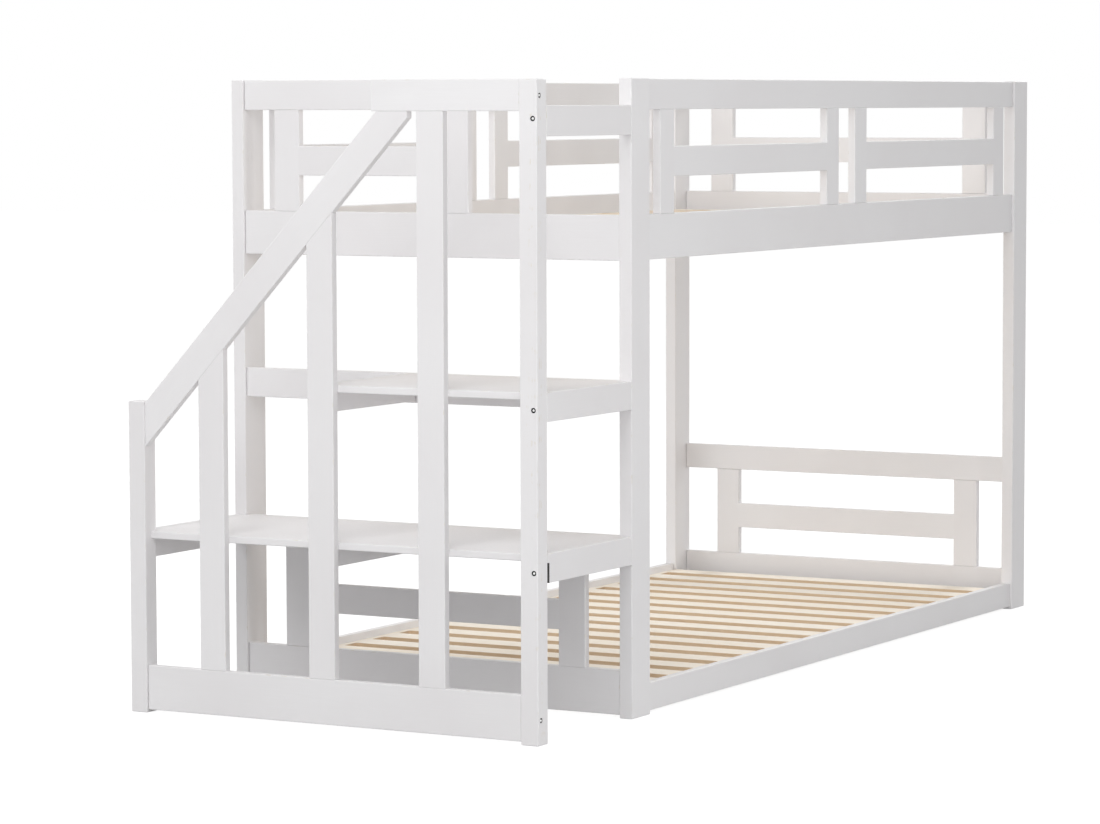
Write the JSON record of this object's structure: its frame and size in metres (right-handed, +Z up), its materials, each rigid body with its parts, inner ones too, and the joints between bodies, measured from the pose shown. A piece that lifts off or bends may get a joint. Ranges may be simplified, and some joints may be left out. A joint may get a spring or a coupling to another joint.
{
  "type": "bunk bed with step shelves",
  "caption": "Low bunk bed with two slatted decks, guard rails all round and a two-step open stair with a sloping handrail across one end.",
  "frame": {"origin": "on the floor, in the middle of the whole footprint of bed and stair", "axes": "+Z up; +Y along the bed, from the stair end to the far end; +X across the bed, towards the side of the way in to the upper bed"},
  "size_m": [0.963, 2.47, 1.3],
  "materials": {
    "white_paint": "smooth satin white paint over planed softwood",
    "slat_pine": "bare planed pine"
  },
  "bodies": {
    "root": {"deck_rail_back": "white_paint", "deck_rail_front": "white_paint", "deck_rail_left": "white_paint", "deck_rail_right": "white_paint", "floor_board_back": "white_paint", "floor_board_front": "white_paint", "floor_rail_left": "white_paint", "floor_rail_right": "white_paint", "guard_apron": "white_paint", "guard_mid_rail_back": "white_paint", "guard_mid_rail_front": "white_paint", "guard_mid_rail_left_1": "white_paint", "guard_mid_rail_left_2": "white_paint", "guard_mid_rail_right_1": "white_paint", "guard_mid_rail_right_2": "white_paint", "guard_stile_back_1": "white_paint", "guard_stile_back_2": "white_paint", "guard_stile_front_1": "white_paint", "guard_stile_front_2": "white_paint", "guard_stile_left_1": "white_paint", "guard_stile_left_2": "white_paint", "guard_stile_left_3": "white_paint", "guard_stile_left_4": "white_paint", "guard_stile_right_1": "white_paint", "guard_stile_right_2": "white_paint", "guard_stile_right_3": "white_paint", "guard_stile_right_4": "white_paint", "handrail": "white_paint", "low_ladder_back": "white_paint", "low_ladder_front": "white_paint", "low_rail_back": "white_paint", "lower_apron_left": "white_paint", "lower_apron_middle": "white_paint", "lower_apron_right": "white_paint", "lower_slat_deck": "slat_pine", "lower_step_rail": "white_paint", "lower_tread": "white_paint", "post_back_left": "white_paint", "post_back_right": "white_paint", "post_front_left": "white_paint", "post_front_right": "white_paint", "stair_bottom_rail": "white_paint", "stair_post_left": "white_paint", "stair_post_right": "white_paint", "stair_top_rail": "white_paint", "stair_upright_1": "white_paint", "stair_upright_2": "white_paint", "stair_upright_3": "white_paint", "top_rail_back": "white_paint", "top_rail_front": "white_paint", "top_rail_left": "white_paint", "top_rail_right": "white_paint", "upper_apron_left": "white_paint", "upper_apron_right": "white_paint", "upper_slat_deck": "slat_pine", "upper_step_rail": "white_paint", "upper_tread": "white_paint"}
  },
  "joints": []
}
